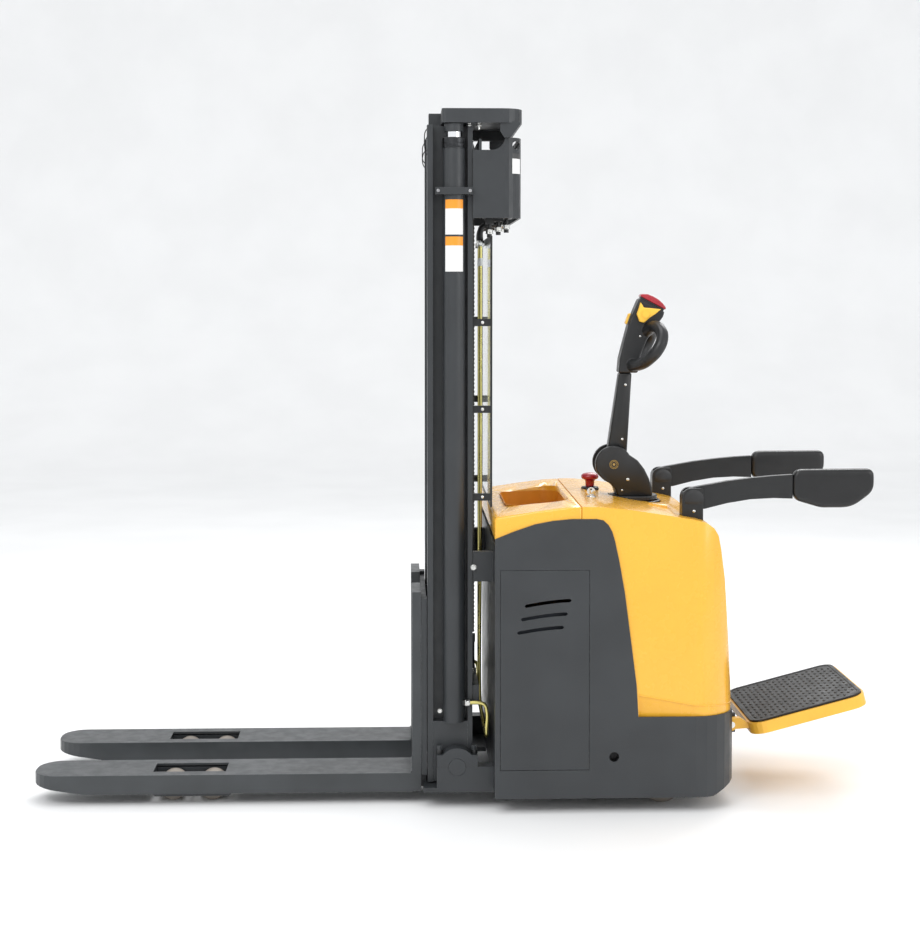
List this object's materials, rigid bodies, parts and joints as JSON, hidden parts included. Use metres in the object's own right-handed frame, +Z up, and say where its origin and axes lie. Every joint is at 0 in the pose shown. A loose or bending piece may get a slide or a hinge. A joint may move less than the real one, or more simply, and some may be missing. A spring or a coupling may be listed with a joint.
{
  "type": "electric stacker truck",
  "caption": "Stand-on electric pallet stacker with a telescopic mast, straddle-leg forks, tiller, folding side arms and a folding operator platform.",
  "frame": {"origin": "centre of the bounding box on the floor, under the wheels", "axes": "+Z up; -X towards the fork tips, +X towards the operator; Y across the machine"},
  "size_m": [2.5659, 0.82, 2.096],
  "materials": {
    "dark_paint": "fine-textured dark grey powder coat",
    "black_paint": "satin black powder coat",
    "yellow_cover": "smooth glossy amber-yellow moulded cover",
    "yellow_paint": "semi-gloss amber-yellow paint",
    "yellow_plastic": "glossy yellow moulding",
    "black_plastic": "fine-grained dark moulding",
    "red_plastic": "dark red gloss",
    "battery": "plain dark case",
    "steel": "machined, slightly oily",
    "chrome": "hard-chromed rod",
    "brass": "yellow-passivated pipe and fittings",
    "chain_steel": "oiled dark leaf chain",
    "tyre": "polyurethane tread",
    "load_wheel": "greyish polyurethane",
    "rubber": "studded black rubber",
    "clear_sheet": "clear polycarbonate"
  },
  "bodies": {
    "chassis": {"chassis_frame": "dark_paint", "body_shell": "dark_paint", "top_cover": "yellow_cover", "rear_hood": "yellow_cover", "battery_pack": "battery", "hydraulic_power_unit": "battery", "outer_mast_crossbeam": "dark_paint", "outer_mast_top_cover": "dark_paint", "hydraulic_pipes": "brass", "screen_frame": "black_paint", "mast_screen": "clear_sheet", "support_leg_left": "dark_paint", "outer_mast_upright_left": "dark_paint", "lift_cylinder_left": "dark_paint", "lift_chain_rear_left": "chain_steel", "access_door_left": "dark_paint", "arm_post_left": "black_paint", "support_leg_right": "dark_paint", "outer_mast_upright_right": "dark_paint", "lift_cylinder_right": "dark_paint", "lift_chain_rear_right": "chain_steel", "access_door_right": "dark_paint", "arm_post_right": "black_paint"},
    "inner_mast": {"inner_mast_frame": "dark_paint", "inner_mast_crosshead": "dark_paint", "piston_rod_left": "chrome", "piston_rod_right": "chrome", "lift_chain_front_left": "chain_steel", "lift_chain_front_right": "chain_steel"},
    "carriage": {"carriage_frame": "dark_paint", "fork_left": "dark_paint", "fork_right": "dark_paint"},
    "steer": {"tiller_base": "black_plastic", "drive_unit": "steel"},
    "drive_wheel": {"drive_wheel": "tyre"},
    "tiller": {"tiller_arm": "black_paint", "tiller_head": "black_plastic"},
    "thumb_switch": {"thumb_switch": "yellow_plastic"},
    "belly_button": {"belly_button": "red_plastic"},
    "lift_button": {"lift_button": "yellow_plastic"},
    "emergency_stop": {"emergency_stop_button": "red_plastic"},
    "key": {"ignition_key": "steel"},
    "platform": {"platform_frame": "yellow_paint", "platform_mat": "rubber"},
    "chain_pulley_left": {"chain_pulley_left": "steel"},
    "load_bogie_left": {"load_bogie_left": "steel"},
    "load_wheel_left_front": {"load_wheel_left_front": "load_wheel"},
    "load_wheel_left_rear": {"load_wheel_left_rear": "load_wheel"},
    "caster_left": {"caster_fork_left": "steel"},
    "caster_wheel_left": {"caster_wheel_left": "load_wheel"},
    "guard_arm_left": {"guard_arm_left": "black_paint", "arm_pad_left": "rubber"},
    "chain_pulley_right": {"chain_pulley_right": "steel"},
    "load_bogie_right": {"load_bogie_right": "steel"},
    "load_wheel_right_front": {"load_wheel_right_front": "load_wheel"},
    "load_wheel_right_rear": {"load_wheel_right_rear": "load_wheel"},
    "caster_right": {"caster_fork_right": "steel"},
    "caster_wheel_right": {"caster_wheel_right": "load_wheel"},
    "guard_arm_right": {"guard_arm_right": "black_paint", "arm_pad_right": "rubber"}
  },
  "joints": [
    {"name": "inner_mast_lift", "type": "slide", "parent": "chassis", "child": "inner_mast", "axis": [0, 0, 1], "range_m": [0, 1.45], "deforming": ["lift_chain_rear_left", "lift_chain_rear_right"]},
    {"name": "carriage_lift", "type": "slide", "parent": "inner_mast", "child": "carriage", "axis": [0, 0, 1], "range_m": [0, 1.45], "deforming": ["lift_chain_front_left", "lift_chain_front_right"]},
    {"name": "steering", "type": "hinge", "parent": "chassis", "child": "steer", "pos_m": [0.573, 0, 0.9], "axis": [0, 0, 1], "range_deg": [-90, 90]},
    {"name": "drive_wheel_spin", "type": "hinge", "parent": "steer", "child": "drive_wheel", "pos_m": [0.573, 0, 0.115], "axis": [0, 1, 0], "continuous": true},
    {"name": "tiller_tilt", "type": "hinge", "parent": "steer", "child": "tiller", "pos_m": [0.506, 0, 1.007], "axis": [0, 1, 0], "range_deg": [0, 65], "stiffness_Nm_per_rad": 12, "springref_deg": -80.21},
    {"name": "thumb_switch_turn", "type": "hinge", "parent": "tiller", "child": "thumb_switch", "pos_m": [0.606, 0, 1.478], "axis": [0, 1, 0], "range_deg": [-16, 16], "stiffness_Nm_per_rad": 0.6},
    {"name": "belly_button_press", "type": "slide", "parent": "tiller", "child": "belly_button", "axis": [-0.4711, 0, -0.8821], "range_m": [0, 0.005], "stiffness_N_per_m": 900, "springref_m": -0.004},
    {"name": "lift_button_press", "type": "slide", "parent": "tiller", "child": "lift_button", "axis": [0.9376, 0, -0.3478], "range_m": [0, 0.003], "stiffness_N_per_m": 600, "springref_m": -0.002},
    {"name": "emergency_stop_press", "type": "slide", "parent": "chassis", "child": "emergency_stop", "axis": [0, 0, -1], "range_m": [0, 0.005], "stiffness_N_per_m": 1500, "springref_m": -0.002},
    {"name": "key_turn", "type": "hinge", "parent": "chassis", "child": "key", "pos_m": [0.424, -0.144, 0.92], "axis": [0, 0, 1], "range_deg": [0, 90]},
    {"name": "platform_fold", "type": "hinge", "parent": "chassis", "child": "platform", "pos_m": [0.862, 0, 0.205], "axis": [0, -1, 0], "range_deg": [-14.5, 72], "stiffness_Nm_per_rad": 150, "springref_deg": 9.17},
    {"name": "chain_pulley_left_turn", "type": "hinge", "parent": "inner_mast", "child": "chain_pulley_left", "pos_m": [0.013, -0.09, 1.99], "axis": [0, 1, 0], "continuous": true},
    {"name": "load_bogie_left_rock", "type": "hinge", "parent": "chassis", "child": "load_bogie_left", "pos_m": [-0.804, -0.195, 0.041], "axis": [0, 1, 0], "range_deg": [-4, 4]},
    {"name": "load_wheel_left_front_spin", "type": "hinge", "parent": "load_bogie_left", "child": "load_wheel_left_front", "pos_m": [-0.864, -0.195, 0.041], "axis": [0, 1, 0], "continuous": true},
    {"name": "load_wheel_left_rear_spin", "type": "hinge", "parent": "load_bogie_left", "child": "load_wheel_left_rear", "pos_m": [-0.744, -0.195, 0.041], "axis": [0, 1, 0], "continuous": true},
    {"name": "caster_left_swivel", "type": "hinge", "parent": "chassis", "child": "caster_left", "pos_m": [0.66, -0.285, 0.155], "axis": [0, 0, 1], "continuous": true},
    {"name": "caster_wheel_left_spin", "type": "hinge", "parent": "caster_left", "child": "caster_wheel_left", "pos_m": [0.625, -0.285, 0.0625], "axis": [0, 1, 0], "continuous": true},
    {"name": "guard_arm_left_fold", "type": "hinge", "parent": "chassis", "child": "guard_arm_left", "pos_m": [0.713, -0.31, 0.943], "axis": [0, 1, 0], "range_deg": [-90, 0]},
    {"name": "chain_pulley_right_turn", "type": "hinge", "parent": "inner_mast", "child": "chain_pulley_right", "pos_m": [0.013, 0.09, 1.99], "axis": [0, 1, 0], "continuous": true},
    {"name": "load_bogie_right_rock", "type": "hinge", "parent": "chassis", "child": "load_bogie_right", "pos_m": [-0.804, 0.195, 0.041], "axis": [0, 1, 0], "range_deg": [-4, 4]},
    {"name": "load_wheel_right_front_spin", "type": "hinge", "parent": "load_bogie_right", "child": "load_wheel_right_front", "pos_m": [-0.864, 0.195, 0.041], "axis": [0, 1, 0], "continuous": true},
    {"name": "load_wheel_right_rear_spin", "type": "hinge", "parent": "load_bogie_right", "child": "load_wheel_right_rear", "pos_m": [-0.744, 0.195, 0.041], "axis": [0, 1, 0], "continuous": true},
    {"name": "caster_right_swivel", "type": "hinge", "parent": "chassis", "child": "caster_right", "pos_m": [0.66, 0.285, 0.155], "axis": [0, 0, 1], "continuous": true},
    {"name": "caster_wheel_right_spin", "type": "hinge", "parent": "caster_right", "child": "caster_wheel_right", "pos_m": [0.625, 0.285, 0.0625], "axis": [0, 1, 0], "continuous": true},
    {"name": "guard_arm_right_fold", "type": "hinge", "parent": "chassis", "child": "guard_arm_right", "pos_m": [0.713, 0.31, 0.943], "axis": [0, 1, 0], "range_deg": [-90, 0]}
  ],
  "couplings": [
    {"joint": "carriage_lift", "follows": "inner_mast_lift", "ratio": 1},
    {"joint": "chain_pulley_left_turn", "follows": "inner_mast_lift", "rad_per_m": 22.222},
    {"joint": "chain_pulley_right_turn", "follows": "inner_mast_lift", "rad_per_m": 22.222}
  ]
}
